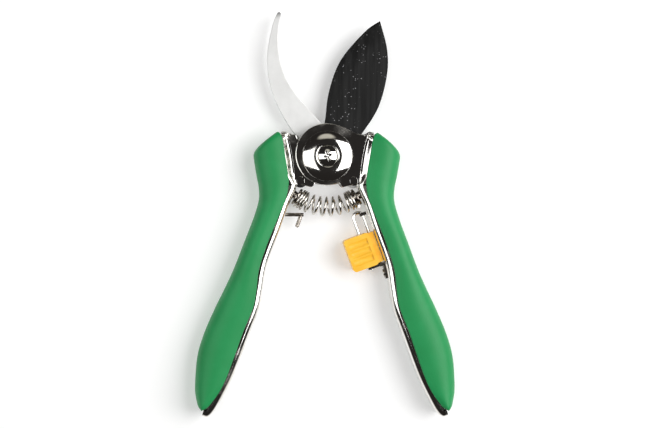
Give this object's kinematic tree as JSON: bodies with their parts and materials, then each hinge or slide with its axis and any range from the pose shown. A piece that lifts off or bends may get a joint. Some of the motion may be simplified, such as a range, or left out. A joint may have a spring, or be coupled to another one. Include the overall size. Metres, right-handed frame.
{
  "type": "pruning shears",
  "caption": "Bypass pruning shears with a hook blade, a leaf-shaped cutting blade, spread steel handles with soft grips, a return spring and a sliding lock.",
  "frame": {"origin": "on the pivot axis, at the underside of the pivot nut, in the plane that the shears rest on", "axes": "+X to the right, +Y towards the blade tips, +Z out of the face with the screw head"},
  "size_m": [0.1298, 0.2017, 0.0192],
  "materials": {
    "nickel": "bright nickel plate on stamped sheet",
    "hook_steel": "satin ground steel",
    "blade_coating": "black low-friction coating over fine grinding marks",
    "dark_steel": "dull plated steel",
    "spring_wire": "bright drawn wire",
    "grip_pvc": "matte soft PVC",
    "lock_plastic": "smooth moulded plastic"
  },
  "bodies": {
    "right_half": {"right_handle": "nickel", "right_grip": "grip_pvc", "hook_blade": "hook_steel", "hook_rivet": "nickel", "hook_spacers": "dark_steel", "pivot_sleeve": "dark_steel", "pivot_screw": "nickel", "dome_washer": "nickel", "back_washer": "nickel", "pivot_nut": "nickel", "right_spring_seat": "dark_steel", "lock_rail": "nickel", "rail_bracket": "dark_steel", "bracket_rivet": "nickel", "rail_clip": "dark_steel", "return_spring": "spring_wire"},
    "left_half": {"left_handle": "nickel", "left_grip": "grip_pvc", "cutting_blade": "blade_coating", "blade_rivet": "nickel", "blade_spacer": "dark_steel", "left_spring_seat": "dark_steel", "catch_bar": "dark_steel", "catch_peg": "dark_steel"},
    "lock_slide": {"lock_tab": "lock_plastic"}
  },
  "joints": [
    {"name": "handle_pivot", "type": "hinge", "parent": "right_half", "child": "left_half", "pos_m": [0, 0, 0.009], "axis": [0, 0, 1], "range_deg": [0, 40], "stiffness_Nm_per_rad": 0.3, "springref_deg": -40.11, "deforming": ["return_spring"]},
    {"name": "lock_travel", "type": "slide", "parent": "right_half", "child": "lock_slide", "axis": [-0.3502, 0.9367, 0], "range_m": [0, 0.0075]}
  ]
}
